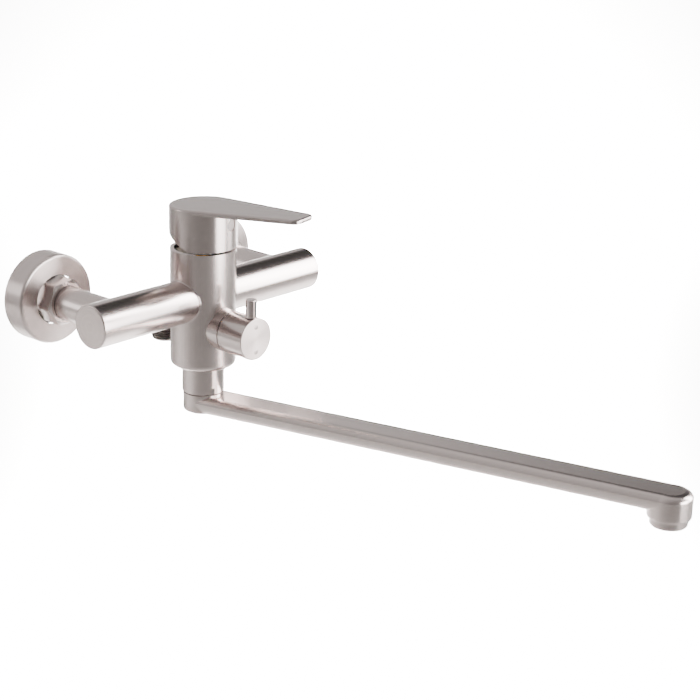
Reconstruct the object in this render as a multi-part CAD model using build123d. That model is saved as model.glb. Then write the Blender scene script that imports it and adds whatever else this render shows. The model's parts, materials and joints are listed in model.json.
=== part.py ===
from build123d import *
import math
import os

# Wall mounted single lever bath mixer in brushed stainless steel, with a long swivel spout.
# Frame: +Z up, +Y into the wall, +X to the right for a person facing the wall.
# The origin lies on the wall plane, midway between the two wall inlets. Millimetres.
# Heights in this file are measured from the bar axis. Every piece is lowered by the offset
# of the eccentric unions when it is written, because the bar hangs that far below the inlets.

# ---- driving dimensions, all on show ----
INLET_SPACING = 150.0
UNION_OFFSET = 8.0
BAR_OUT = 77.5
GAP = 0.3
SLIP = 0.06

BARREL_R = 22.1
BARREL_TOP = 33.7
BARREL_BOTTOM = -47.0
BARREL_EDGE = 3.4
WELL_R = 17.7
WELL_FLOOR = 2.0
NUT_BORE_R = 19.3
NUT_BORE_FLOOR = 20.0

ARM_R = 14.5
ARM_BORE_R = 11.6
BAR_HALF = 98.6
CAP_T = 3.0
CAP_EDGE = 1.0
LEG_R = 11.3
LEG_BORE_R = 8.0

FLANGE_R = 30.0
FLANGE_DEPTH = 17.0
FLANGE_WALL = 1.2
FLANGE_HOLE_R = 16.6
FLANGE_EDGE = 2.0
HEX_NUT_AF = 28.0
HEX_NUT_FRONT = -28.0
HEX_NUT_BACK = -13.0
HEX_NUT_TURN = 7.0
HEX_NUT_CORNER = 3.0
HEX_NUT_CONE = 6.0
HEX_NUT_CHAMFER = 30.7
UNION_THREAD_R = 13.2
WALL_THREAD_R = 10.48
WALL_THREAD_L = 18.0

LEVER_YAW = 12.0
LEVER_R = 22.6
LEVER_TOP = 63.5
LEVER_RISE = 1.6
LEVER_LENGTH = 79.0
LEVER_TIP_HALF = 11.5
LEVER_TIP_CORNER = 6.0
LEVER_PLATE = 3.0
LEVER_EDGE = 1.3
SKIRT_BOTTOM = 35.4
PIVOT_H = 25.0
BACK_CUT = 25.0

DIVERTER_H = -18.8
COLLAR_R = 14.0
COLLAR_END = 27.0
KNOB_R = 14.2
KNOB_BACK = 28.1
KNOB_FACE = 49.8
KNOB_EDGE = 0.6
KNOB_PIN_R = 3.7
KNOB_PIN_OUT = 45.0
KNOB_PIN_TOP = 26.3

OUTLET_BACK = 36.0
OUTLET_BOTTOM = -37.5
OUTLET_THREAD_R = 10.48
ELBOW_R = 11.5
ELBOW_H = -15.5

NECK_R = 14.2
NECK_BOTTOM = -66.3
WRENCH_H = 2.7
WRENCH_W = 10.0
WRENCH_T = 4.6
WRENCH_DEPTH = 0.7
WRENCH_TURN = 61.0
HUB_R = 13.6
HUB_TOP = -66.9
HUB_EDGE = 2.0
HUB_WALL = 2.2
SPOUT_YAW = 14.2
SPOUT_LENGTH = 330.7
SPOUT_HALF = 13.5
BOSS_R = 13.8
BOSS_LOW_EDGE = 1.6
SPOUT_FLAT = 8.0
SPOUT_TOP = -68.0
SPOUT_WIDEST = -72.2
SPOUT_BOTTOM = -80.0
SPOUT_WALL = 1.2
BOSS_BOTTOM = -85.4
AERATOR_R = 11.75
AERATOR_BOTTOM = -90.5

# ---- fitting dimensions, hidden inside ----
PORT_R = 4.0
PORTS = ((-7.0, 5.0), (7.0, 5.0), (0.0, -8.0))
CHANNEL_R = 4.5
SPOUT_BORE_R = 6.0
ARM_START = 14.0
SPIGOT_L = 3.0
LEG_COLLAR_R = 12.4
LEG_COLLAR_T = 2.5
LEG_END = -23.0
UNION_END = -21.0
UNION_NECK_R = UNION_THREAD_R - 0.8
UNION_WEB_R = 18.0
UNION_WEB_FRONT = -9.5
UNION_WEB_BACK = -5.0
UNION_SHOULDER = -1.0
UNION_BORE_R = 7.5
WALL_BORE_R = 7.0

OUTLET_TOP = ELBOW_H - ELBOW_R - 0.1
OUTLET_BORE_R = 4.5
OUTLET_SPIGOT_R = 8.0
OUTLET_SPIGOT_L = 4.0

SEAL_TOP = WELL_FLOOR + 0.5
BASE_TOP = 5.5
SEAT_TOP = 8.5
SEAT_R = 13.8
SLIDER_TOP = 11.5
SLIDER_R = 10.4
CHAMBER_R = 7.5
CARRIER_TOP = 15.8
HOLDER_FLOOR = 16.4
NECK_GUIDE_R = 9.5
HOUSING_TOP = 31.0
SPINDLE_SIZE = 7.0
SPINDLE_SLOT_L = 14.6
SPINDLE_FOOT_R = 2.4
FOOT_PLAY = 0.65
FOOT_BOTTOM = 13.2
SPINDLE_LOW = 18.0
SPINDLE_TOP = 55.0
PIN_R = 1.5
NUT_TOP = 31.5
NUT_HEX_T = 4.0
NUT_HEX_HALF = 16.5

BOSS_LOW = 43.0
LEVER_BOSS_R = 8.0
CROWN_FLOOR = LEVER_TOP - 7.0
SKIRT_WALL = 3.0
SCREW_H = 52.0
SCREW_R = 2.5
SCREW_OUT = 15.0
PLUG_R = 4.4
PLUG_DEPTH = 2.0
PLUG_SUNK = 0.8

DIVERTER_BORE_R = 8.5
DIVERTER_BORE_END = 9.0
DIVERTER_DISC_R = 6.6
SLEEVE_FRONT = -15.0
ROTOR_BACK = 5.5
ROTOR_FRONT = 2.5
ROTOR_R = 6.2
SPINDLE_R = 4.0
SPINDLE_BORE_R = SPINDLE_R + SLIP
RING_R = 3.1
RING_Y = -8.5
KNOB_FLOOR = 4.0
KNOB_HUB_R = 6.5
KNOB_BOSS_R = 4.3
KNOB_THREAD_R = KNOB_PIN_R - 0.9

CONNECTOR_R = 10.4
CONNECTOR_L = 8.0
CONNECTOR_BOTTOM = -57.0
TAIL_R = 8.4
TAIL_L = 6.0
TAIL_PLAY = 0.35
GROOVE_R = 7.2
GROOVE_FLOOR = NECK_BOTTOM + 4.5
RING_GROOVE_R = 7.0
RING_HEIGHTS = (-53.0, -49.0)

AERATOR_THREAD_R = 10.9
AERATOR_TOP = -76.5
AERATOR_WALL = 1.0
AERATOR_LIP = 1.2
RIB_PITCH = 2.4
RIB_T = 0.6
RIB_H = 3.6

AXIS = Pos(0, -BAR_OUT, 0)


# ---- shapes along the three axes ----
def upright(radius, low, high):
    """Cylinder along Z between two heights."""
    return Pos(0, 0, low) * Cylinder(radius, high - low, align=(Align.CENTER, Align.CENTER, Align.MIN))


def inward(radius, start, end):
    """Cylinder along +Y between two depths."""
    return Rot(X=-90) * upright(radius, start, end)


def sideways(radius, start, end):
    """Cylinder along +X between two stations."""
    return Rot(Y=90) * upright(radius, start, end)


def tube(outer, inner, low, high, make=upright):
    """Straight tube made with one of the three cylinder functions."""
    return make(outer, low, high) - make(inner, low - 1, high + 1)


def lever_frame(shape):
    """Turn a shape drawn with the lever towards -Y to the lever's resting direction."""
    return AXIS * Rot(Z=LEVER_YAW) * shape


def spout_frame(shape):
    """Turn a shape drawn with the spout towards -Y to the spout's resting direction."""
    return AXIS * Rot(Z=SPOUT_YAW) * shape


# ---- cast body and the pieces brazed to it ----
def barrel():
    """Cast barrel with the cartridge well, the diverter bore and the water channels."""
    body = upright(BARREL_R, BARREL_BOTTOM, BARREL_TOP)
    body = fillet(body.edges().group_by(Axis.Z)[0], BARREL_EDGE)
    body -= upright(WELL_R, WELL_FLOOR, BARREL_TOP + 1)
    body -= upright(NUT_BORE_R, NUT_BORE_FLOOR, BARREL_TOP + 1)
    outside = BARREL_R + 2
    for x, y in PORTS[:2]:
        body -= Pos(x, y, 0) * upright(PORT_R, -CHANNEL_R, WELL_FLOOR + 1)
        body -= Pos(0, y, -CHANNEL_R) * sideways(CHANNEL_R, *sorted((x, math.copysign(outside, x))))
    body -= Pos(*PORTS[2], 0) * upright(CHANNEL_R, DIVERTER_H, WELL_FLOOR + 1)
    body -= Pos(0, 0, DIVERTER_H) * inward(DIVERTER_BORE_R, -outside, DIVERTER_BORE_END)
    body -= Pos(0, 0, ELBOW_H) * inward(OUTLET_BORE_R, DIVERTER_BORE_END - 1, outside)
    body -= upright(SPOUT_BORE_R, BARREL_BOTTOM - 1, DIVERTER_H)
    body -= upright(CONNECTOR_R, BARREL_BOTTOM - 1, BARREL_BOTTOM + CONNECTOR_L)
    return AXIS * body


def arm(side):
    """Round arm of the bar, saddled onto the barrel, with a hole for the inlet leg."""
    stations = sorted((side * ARM_START, side * (BAR_HALF - CAP_T)))
    pipe = tube(ARM_R, ARM_BORE_R, *stations, make=sideways)
    pipe -= upright(BARREL_R, -30, 30)
    pipe -= Pos(side * INLET_SPACING / 2, 0, 0) * inward(LEG_BORE_R, 0, 20)
    return AXIS * pipe


def end_cap(side):
    """Disc that closes the end of an arm, with a spigot inside the bore."""
    disc = sideways(ARM_R, *sorted((side * (BAR_HALF - CAP_T), side * BAR_HALF)))
    face = disc.faces().sort_by(Axis.X)[-1 if side > 0 else 0]
    disc = fillet(face.edges(), CAP_EDGE)
    shoulder = BAR_HALF - CAP_T
    disc += sideways(ARM_BORE_R, *sorted((side * (shoulder - SPIGOT_L), side * shoulder)))
    return AXIS * disc


def inlet_leg(side):
    """Leg from the arm to the wall union, with the collar that the hex nut pulls on."""
    pipe = inward(LEG_R, -BAR_OUT + 5, LEG_END)
    pipe += inward(LEG_COLLAR_R, LEG_END - LEG_COLLAR_T, LEG_END)
    pipe -= Pos(0, -BAR_OUT, 0) * sideways(ARM_R, -40, 40)
    pipe -= inward(LEG_BORE_R, -BAR_OUT, 0)
    return Pos(side * INLET_SPACING / 2, 0, 0) * pipe


# ---- wall unions ----
def hex_nut(side):
    """Hexagon union nut: rounded corners, chamfered front, inner shoulder."""
    length = HEX_NUT_BACK - HEX_NUT_FRONT
    profile = RegularPolygon(HEX_NUT_AF / 2, 6, major_radius=False, rotation=HEX_NUT_TURN)
    prism = fillet(extrude(profile, length).edges().filter_by(Axis.Z), HEX_NUT_CORNER)
    front_r = HEX_NUT_AF / 2 - 0.6
    slope = math.tan(math.radians(HEX_NUT_CHAMFER))
    cone_r = front_r + HEX_NUT_CONE / slope
    cone = Cone(cone_r, front_r, HEX_NUT_CONE, align=(Align.CENTER, Align.CENTER, Align.MAX))
    prism &= Pos(0, 0, length) * cone + upright(cone_r, 0, length - HEX_NUT_CONE)
    nut = Pos(0, HEX_NUT_BACK, 0) * Rot(X=90) * prism
    nut -= inward(LEG_R + GAP, HEX_NUT_FRONT - 1, HEX_NUT_BACK + 1)
    nut -= inward(UNION_THREAD_R + 0.1, LEG_END - LEG_COLLAR_T, HEX_NUT_BACK + 1)
    return Pos(side * INLET_SPACING / 2, 0, 0) * nut


def union_washer(side):
    """Flat sealing ring between the leg and the eccentric union."""
    ring = tube(LEG_COLLAR_R, LEG_BORE_R, LEG_END, UNION_END, make=inward)
    return Pos(side * INLET_SPACING / 2, 0, 0) * ring


def eccentric_union(side):
    """Eccentric wall union: outer thread on the leg axis, round web, wall thread above by the offset."""
    lifted = Pos(0, 0, UNION_OFFSET)
    meet = (UNION_WEB_FRONT + UNION_WEB_BACK) / 2
    union = lifted * inward(WALL_THREAD_R, UNION_SHOULDER - 1, WALL_THREAD_L)
    union += lifted * inward(UNION_NECK_R, UNION_WEB_BACK - 1, UNION_SHOULDER)
    union += inward(UNION_WEB_R, UNION_WEB_FRONT, UNION_WEB_BACK)
    union += inward(UNION_THREAD_R, UNION_END, UNION_WEB_FRONT)
    union -= inward(UNION_BORE_R, UNION_END - 1, meet + 0.5)
    union -= lifted * inward(WALL_BORE_R, meet - 0.5, WALL_THREAD_L + 1)
    return Pos(side * INLET_SPACING / 2, 0, 0) * union


def escutcheon(side):
    """Round cover cup over the wall union, open to the wall, with a hole for the nut."""
    cup = inward(FLANGE_R, -FLANGE_DEPTH, 0)
    cup = fillet(cup.edges().group_by(Axis.Y)[0], FLANGE_EDGE)
    cup -= inward(FLANGE_R - FLANGE_WALL, -FLANGE_DEPTH + FLANGE_WALL, 1)
    cup -= inward(FLANGE_HOLE_R, -FLANGE_DEPTH - 1, 1)
    return Pos(side * INLET_SPACING / 2, 0, 0) * cup


# ---- hose outlet at the back ----
def hose_elbow():
    """Elbow at the back of the barrel that turns the shower outlet down."""
    start = BARREL_R / 2
    elbow = Pos(0, 0, ELBOW_H) * inward(ELBOW_R, start, OUTLET_BACK)
    elbow += Pos(0, OUTLET_BACK, 0) * upright(ELBOW_R, OUTLET_TOP, ELBOW_H)
    elbow += Pos(0, OUTLET_BACK, ELBOW_H) * Sphere(ELBOW_R)
    elbow -= upright(BARREL_R, -60, 30)
    elbow -= Pos(0, 0, ELBOW_H) * inward(OUTLET_BORE_R, start, OUTLET_BACK)
    elbow -= Pos(0, OUTLET_BACK, 0) * upright(OUTLET_BORE_R, OUTLET_TOP - 1, ELBOW_H)
    elbow -= Pos(0, OUTLET_BACK, 0) * upright(OUTLET_SPIGOT_R, OUTLET_TOP - 1, OUTLET_TOP + OUTLET_SPIGOT_L)
    return AXIS * elbow


def hose_nipple():
    """Threaded nipple for the shower hose."""
    nipple = upright(OUTLET_THREAD_R, OUTLET_BOTTOM, OUTLET_TOP)
    nipple += upright(OUTLET_SPIGOT_R, OUTLET_TOP, OUTLET_TOP + OUTLET_SPIGOT_L)
    nipple -= upright(OUTLET_BORE_R, OUTLET_BOTTOM - 1, ELBOW_H)
    return AXIS * Pos(0, OUTLET_BACK, 0) * nipple


# ---- mixing cartridge ----
def port_cut(shape, low, high, radius):
    """Cut the three water ports through a cartridge piece."""
    for x, y in PORTS:
        shape -= Pos(x, y, 0) * upright(radius, low, high)
    return shape


def cartridge_seals():
    """Three rings that seal the cartridge ports on the floor of the well."""
    rings = [Pos(x, y, 0) * tube(PORT_R + 1.2, PORT_R, WELL_FLOOR, SEAL_TOP) for x, y in PORTS]
    return AXIS * Compound(children=rings)


def cartridge_base():
    """Plastic base of the cartridge, with the three ports."""
    base = upright(WELL_R - 0.1, SEAL_TOP, BASE_TOP)
    return AXIS * port_cut(base, SEAL_TOP - 1, BASE_TOP + 1, PORT_R)


def ceramic_seat():
    """Fixed ceramic disc, with the three ports."""
    disc = upright(SEAT_R, BASE_TOP, SEAT_TOP)
    return AXIS * port_cut(disc, BASE_TOP - 1, SEAT_TOP + 1, PORT_R - 0.4)


def ceramic_slider():
    """Moving ceramic disc, with the mixing chamber in its lower face."""
    disc = upright(SLIDER_R, SEAT_TOP + SLIP, SLIDER_TOP)
    disc -= upright(CHAMBER_R, SEAT_TOP, SEAT_TOP + 1.8)
    return lever_frame(disc)


def disc_carrier():
    """Plastic carrier on the moving disc, with the socket for the foot of the spindle."""
    carrier = upright(SLIDER_R, SLIDER_TOP, CARRIER_TOP)
    carrier -= upright(SPINDLE_FOOT_R + FOOT_PLAY, SLIDER_TOP + 1.0, CARRIER_TOP + 1)
    return lever_frame(carrier)


def cartridge_housing():
    """Plastic shell of the cartridge, with the neck that guides the spindle holder."""
    shell = upright(WELL_R - 0.1, BASE_TOP, NUT_BORE_FLOOR)
    shell += upright(NECK_GUIDE_R + 1.6, NUT_BORE_FLOOR, HOUSING_TOP)
    shell -= upright(SEAT_R + 1.0, BASE_TOP - 1, HOLDER_FLOOR + 0.4)
    shell -= upright(NECK_GUIDE_R, BASE_TOP, HOUSING_TOP + 1)
    return AXIS * shell


def spindle_holder():
    """Turning guide in the neck of the housing, slotted for the spindle, with its pin holes."""
    holder = upright(NECK_GUIDE_R - SLIP, HOLDER_FLOOR, HOUSING_TOP + 1.0)
    slot = Box(SPINDLE_SIZE + 0.7, SPINDLE_SLOT_L, 2 * HOUSING_TOP)
    holder -= Pos(0, 0, PIVOT_H) * slot
    holder -= Pos(0, 0, PIVOT_H) * sideways(PIN_R, -NECK_GUIDE_R, NECK_GUIDE_R)
    return lever_frame(holder)


def spindle_pin():
    """Cross pin on which the spindle tilts."""
    return lever_frame(Pos(0, 0, PIVOT_H) * sideways(PIN_R, -NECK_GUIDE_R + 0.6, NECK_GUIDE_R - 0.6))


def lever_spindle():
    """Square spindle with a round foot, bored for the cross pin."""
    length = SPINDLE_TOP - SPINDLE_LOW
    shaft = Pos(0, 0, SPINDLE_LOW + length / 2) * Box(SPINDLE_SIZE, SPINDLE_SIZE, length)
    shaft += upright(SPINDLE_FOOT_R, FOOT_BOTTOM, SPINDLE_LOW)
    shaft -= Pos(0, 0, PIVOT_H) * sideways(PIN_R + SLIP, -SPINDLE_SIZE, SPINDLE_SIZE)
    return lever_frame(shaft)


def cartridge_nut():
    """Brass ring nut that holds the cartridge down in its well."""
    ring = upright(NUT_BORE_R - 0.1, NUT_BORE_FLOOR, NUT_TOP - NUT_HEX_T)
    hexagon = extrude(RegularPolygon(NUT_HEX_HALF, 6, major_radius=False), NUT_HEX_T)
    ring += Pos(0, 0, NUT_TOP - NUT_HEX_T) * hexagon
    ring -= upright(NECK_GUIDE_R + 1.7, NUT_BORE_FLOOR - 1, NUT_TOP + 1)
    return AXIS * ring


# ---- lever ----
def lever_outline():
    """Teardrop seen from above: round over the barrel, straight sides, a blunt tip."""
    circles = [Circle(LEVER_R)]
    for side in (-1, 1):
        corner = (side * (LEVER_TIP_HALF - LEVER_TIP_CORNER), LEVER_TIP_CORNER - LEVER_LENGTH)
        circles.append(Pos(*corner) * Circle(LEVER_TIP_CORNER))
    return make_hull([circle.edge() for circle in circles])


def lever_level(offset):
    """Half space above the plane of the lever's top, moved by an offset."""
    block = Box(300, 300, 60, align=(Align.CENTER, Align.CENTER, Align.MIN))
    return Pos(0, 0, LEVER_TOP + offset) * Rot(X=-LEVER_RISE) * block


def lever_handle():
    """Lever: a skirt over the cartridge and a flat teardrop plate, cast in one piece."""
    handle = Pos(0, 0, SKIRT_BOTTOM) * extrude(lever_outline(), LEVER_TOP - SKIRT_BOTTOM + 10)
    handle -= lever_level(0)
    handle = fillet(handle.edges().group_by(Axis.Z)[-1], LEVER_EDGE)
    below = upright(200, SKIRT_BOTTOM - 1, LEVER_TOP + 10) - lever_level(-LEVER_PLATE)
    handle -= below - upright(LEVER_R, SKIRT_BOTTOM - 2, LEVER_TOP + 12)
    handle -= upright(LEVER_R - SKIRT_WALL, SKIRT_BOTTOM - 1, CROWN_FLOOR)
    handle += upright(LEVER_BOSS_R, BOSS_LOW, CROWN_FLOOR + 0.5)
    cut = Box(80, 80, 40, align=(Align.CENTER, Align.MIN, Align.MAX))
    handle -= Pos(0, -3.0, SKIRT_BOTTOM) * Rot(X=BACK_CUT) * cut
    socket = SPINDLE_SIZE + 0.1
    handle -= Box(socket, socket, SPINDLE_TOP + 0.2, align=(Align.CENTER, Align.CENTER, Align.MIN))
    handle -= Pos(0, 0, SCREW_H) * inward(SCREW_R, -LEVER_R - 1, 0)
    handle -= Pos(0, 0, SCREW_H) * inward(PLUG_R, -LEVER_R - 1, -LEVER_R + PLUG_DEPTH)
    return lever_frame(handle)


def lever_grub_screw():
    """Socket set screw that clamps the lever on the spindle."""
    socket = extrude(RegularPolygon(SCREW_R / 2, 6, major_radius=False), SCREW_R)
    screw = inward(SCREW_R, -SCREW_OUT, -SPINDLE_SIZE / 2)
    screw -= Rot(X=-90) * Pos(0, 0, -SCREW_OUT) * socket
    return lever_frame(Pos(0, 0, SCREW_H) * screw)


def lever_screw_cover():
    """Round button that hides the set screw."""
    button = inward(PLUG_R, -LEVER_R + PLUG_SUNK, -LEVER_R + PLUG_DEPTH)
    button = fillet(button.edges().group_by(Axis.Y)[0], 0.3)
    button += inward(SCREW_R - 0.1, -LEVER_R + PLUG_DEPTH, -LEVER_R + 2 * PLUG_DEPTH)
    return lever_frame(Pos(0, 0, SCREW_H) * button)


# ---- diverter ----
def diverter_bonnet():
    """Fixed collar on the barrel that holds the diverter valve in its bore."""
    bonnet = Pos(0, 0, DIVERTER_H) * inward(COLLAR_R, -COLLAR_END, SLEEVE_FRONT)
    bonnet -= upright(BARREL_R, BARREL_BOTTOM, BARREL_TOP)
    bonnet += Pos(0, 0, DIVERTER_H) * inward(DIVERTER_BORE_R, -BARREL_R - 1, SLEEVE_FRONT)
    bonnet -= Pos(0, 0, DIVERTER_H) * inward(SPINDLE_BORE_R, -COLLAR_END - 1, 0)
    return AXIS * bonnet


def diverter_sleeve():
    """Brass sleeve of the diverter valve, open to the channels above, below and behind."""
    sleeve = tube(DIVERTER_BORE_R, DIVERTER_DISC_R, SLEEVE_FRONT, DIVERTER_BORE_END, make=inward)
    sleeve -= Pos(0, PORTS[2][1], 0) * upright(PORT_R, 0, BARREL_R)
    sleeve -= upright(PORT_R, -BARREL_R, 0)
    return AXIS * Pos(0, 0, DIVERTER_H) * sleeve


def diverter_seat():
    """Fixed ceramic disc of the diverter, with the port to the hose."""
    disc = inward(DIVERTER_DISC_R, ROTOR_BACK, DIVERTER_BORE_END - 0.5)
    disc -= Pos(0, 0, -3.6) * inward(2.0, ROTOR_BACK - 1, DIVERTER_BORE_END)
    return AXIS * Pos(0, 0, DIVERTER_H) * disc


def diverter_rotor():
    """Moving ceramic disc of the diverter, cut away over half its face."""
    disc = inward(ROTOR_R, ROTOR_FRONT, ROTOR_BACK - SLIP)
    disc -= Pos(0, (ROTOR_FRONT + ROTOR_BACK) / 2, -5.0) * Box(2 * ROTOR_R + 1, 6.4, 5.4)
    return AXIS * Pos(0, 0, DIVERTER_H) * disc


def diverter_spindle():
    """Spindle from the moving disc to the knob."""
    spindle = inward(SPINDLE_R, -KNOB_FACE + KNOB_FLOOR, 0.5)
    spindle += inward(ROTOR_R, 0.5, ROTOR_FRONT)
    spindle += inward(ROTOR_R - 0.6, SLEEVE_FRONT + 0.3, SLEEVE_FRONT + 3.5)
    spindle -= tube(ROTOR_R + 1, RING_R, RING_Y - 0.9, RING_Y + 0.9, make=inward)
    flat = Pos(0, -KNOB_PIN_OUT, 3.3) * Box(10, 2 * KNOB_PIN_R + 1, 2)
    return AXIS * Pos(0, 0, DIVERTER_H) * (spindle - flat)


def diverter_ring():
    """Sealing ring in the groove of the diverter spindle."""
    ring = tube(DIVERTER_DISC_R - 0.1, RING_R + 0.05, RING_Y - 0.8, RING_Y + 0.8, make=inward)
    return AXIS * Pos(0, 0, DIVERTER_H) * ring


def diverter_knob():
    """Knob cup with a hub on the spindle and a threaded hole for the pin."""
    knob = inward(KNOB_R, -KNOB_FACE, -KNOB_BACK)
    knob = fillet(knob.edges().group_by(Axis.Y)[0], KNOB_EDGE)
    knob -= tube(KNOB_R - 2.6, KNOB_HUB_R, -KNOB_FACE + KNOB_FLOOR - 0.5, -KNOB_BACK + 1, make=inward)
    knob -= inward(SPINDLE_R, -KNOB_FACE + KNOB_FLOOR, -KNOB_BACK + 1)
    knob += Pos(0, -KNOB_PIN_OUT, 0) * upright(KNOB_BOSS_R, SPINDLE_R + 1.0, KNOB_R - 1.5)
    knob -= Pos(0, -KNOB_PIN_OUT, 0) * upright(KNOB_THREAD_R, 0, KNOB_R + 5)
    return AXIS * Pos(0, 0, DIVERTER_H) * knob


def knob_pin():
    """Pin handle of the knob, whose screwed foot also clamps the knob on the spindle."""
    pin = upright(KNOB_PIN_R, KNOB_R + 0.05, KNOB_PIN_TOP)
    pin = fillet(pin.edges().group_by(Axis.Z)[-1], 0.5)
    pin += upright(KNOB_THREAD_R, 2.3, KNOB_R + 0.05)
    return AXIS * Pos(0, -KNOB_PIN_OUT, DIVERTER_H) * pin


# ---- spout and its swivel joint ----
def spout_connector():
    """Threaded nipple in the bottom of the barrel: the socket in which the spout turns."""
    nipple = upright(CONNECTOR_R, BARREL_BOTTOM, BARREL_BOTTOM + CONNECTOR_L)
    nipple += upright(CONNECTOR_R + 1.4, CONNECTOR_BOTTOM, BARREL_BOTTOM)
    nipple -= upright(TAIL_R + SLIP, CONNECTOR_BOTTOM - 1, BARREL_BOTTOM + 2)
    nipple -= upright(SPOUT_BORE_R, BARREL_BOTTOM, BARREL_BOTTOM + CONNECTOR_L + 1)
    return AXIS * nipple


def neck_nut():
    """Round nut below the barrel with two wrench flats; it carries the spout."""
    nut = upright(NECK_R, NECK_BOTTOM, BARREL_BOTTOM - 0.1)
    nut = chamfer(nut.edges().group_by(Axis.Z)[0], 0.6)
    nut -= upright(CONNECTOR_R + 1.45, GROOVE_FLOOR, BARREL_BOTTOM)
    nut -= upright(TAIL_R + TAIL_PLAY, NECK_BOTTOM - 1, BARREL_BOTTOM)
    for side in (-1, 1):
        flat = Pos(side * NECK_R, 0, NECK_BOTTOM + WRENCH_H) * Box(2 * WRENCH_DEPTH, WRENCH_W, WRENCH_T)
        nut -= flat
    return AXIS * Rot(Z=WRENCH_TURN) * nut


def split_ring():
    """Split ring in the groove of the spout tail; the neck nut holds it against the nipple."""
    ring = tube(CONNECTOR_R + 1.2, GROOVE_R + 0.15, GROOVE_FLOOR, CONNECTOR_BOTTOM - 0.1)
    ring -= Pos(0, CONNECTOR_R, GROOVE_FLOOR) * Box(1.6, 2 * CONNECTOR_R, 20)
    return AXIS * ring


def spout_tail():
    """Turned tail of the spout, with the grooves for the split ring and the sealing rings."""
    tail = upright(TAIL_R, HUB_TOP - TAIL_L, BARREL_BOTTOM + 1.7)
    tail -= tube(NECK_R, GROOVE_R, GROOVE_FLOOR - 0.3, CONNECTOR_BOTTOM + 0.2)
    for height in RING_HEIGHTS:
        tail -= tube(NECK_R, RING_GROOVE_R, height - 1.1, height + 1.1)
    tail -= upright(SPOUT_BORE_R, HUB_TOP - TAIL_L - 1, BARREL_BOTTOM + 3)
    return spout_frame(tail)


def spout_rings():
    """Two sealing rings on the spout tail."""
    rings = [tube(TAIL_R, RING_GROOVE_R, height - 0.9, height + 0.9) for height in RING_HEIGHTS]
    return spout_frame(Compound(children=rings))


def slip_washer():
    """Thin plastic washer on which the hub turns below the neck nut."""
    return spout_frame(tube(HUB_R - 1.6, TAIL_R, HUB_TOP, NECK_BOTTOM - 0.2))


def spout_section(inset):
    """Flat oval section: level top, quarter ellipses down to the widest line, softer belly."""
    flat = SPOUT_FLAT - inset / 2
    reach = SPOUT_HALF - inset - flat
    rise = SPOUT_TOP - inset - SPOUT_WIDEST
    drop = SPOUT_WIDEST - SPOUT_BOTTOM - inset
    corners = []
    for side, start in ((1, 0), (-1, 90)):
        corner = (side * flat, SPOUT_WIDEST)
        corners.append(EllipticalCenterArc(corner, reach, rise, start, arc_size=90))
        corners.append(EllipticalCenterArc(corner, reach, drop, 270 - start, arc_size=90))
    corners.append(Line((-flat, SPOUT_WIDEST + rise), (flat, SPOUT_WIDEST + rise)))
    corners.append(Line((-flat, SPOUT_WIDEST - drop), (flat, SPOUT_WIDEST - drop)))
    return Plane(origin=(0, 0, 0), x_dir=(1, 0, 0), z_dir=(0, -1, 0)) * make_face(corners)


def spout_boss():
    """Boss for the aerator, whose top has the same rounding as the sides of the tube."""
    flat = BOSS_R - (SPOUT_HALF - SPOUT_FLAT)
    rounding = EllipticalCenterArc(
        (flat, SPOUT_WIDEST), BOSS_R - flat, SPOUT_TOP - SPOUT_WIDEST, 0, arc_size=90
    )
    outline = [
        Line((0, SPOUT_TOP), (flat, SPOUT_TOP)),
        rounding,
        Line((BOSS_R, SPOUT_WIDEST), (BOSS_R, BOSS_BOTTOM)),
        Line((BOSS_R, BOSS_BOTTOM), (0, BOSS_BOTTOM)),
        Line((0, BOSS_BOTTOM), (0, SPOUT_TOP)),
    ]
    boss = revolve(Plane.XZ * make_face(outline), axis=Axis.Z)
    return fillet(boss.edges().group_by(Axis.Z)[0], BOSS_LOW_EDGE)


def spout():
    """Spout: hub under the neck nut, long flat oval tube, and the boss for the aerator."""
    hub = upright(HUB_R, SPOUT_BOTTOM, HUB_TOP)
    hub = fillet(hub.edges().group_by(Axis.Z)[0], HUB_EDGE)
    body = hub + extrude(spout_section(0), SPOUT_LENGTH) + Pos(0, -SPOUT_LENGTH, 0) * spout_boss()
    body -= extrude(spout_section(SPOUT_WALL), SPOUT_LENGTH)
    body -= upright(HUB_R - HUB_WALL, SPOUT_BOTTOM + SPOUT_WALL, HUB_TOP - TAIL_L)
    body -= upright(TAIL_R, HUB_TOP - TAIL_L - 0.5, HUB_TOP + 1)
    body -= Pos(0, -SPOUT_LENGTH, 0) * upright(AERATOR_THREAD_R, BOSS_BOTTOM - 1, SPOUT_TOP - 2.2)
    return spout_frame(body)


def aerator_ring():
    """Aerator housing that screws into the boss."""
    ring = upright(AERATOR_R, AERATOR_BOTTOM, BOSS_BOTTOM)
    ring = chamfer(ring.edges().group_by(Axis.Z)[0], 0.9)
    ring += upright(AERATOR_THREAD_R, BOSS_BOTTOM, AERATOR_TOP)
    ring -= upright(AERATOR_THREAD_R - AERATOR_WALL, AERATOR_BOTTOM + AERATOR_LIP, AERATOR_TOP + 1)
    ring -= upright(AERATOR_THREAD_R - 2.2, AERATOR_BOTTOM - 1, AERATOR_BOTTOM + 2)
    return spout_frame(Pos(0, -SPOUT_LENGTH, 0) * ring)


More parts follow.
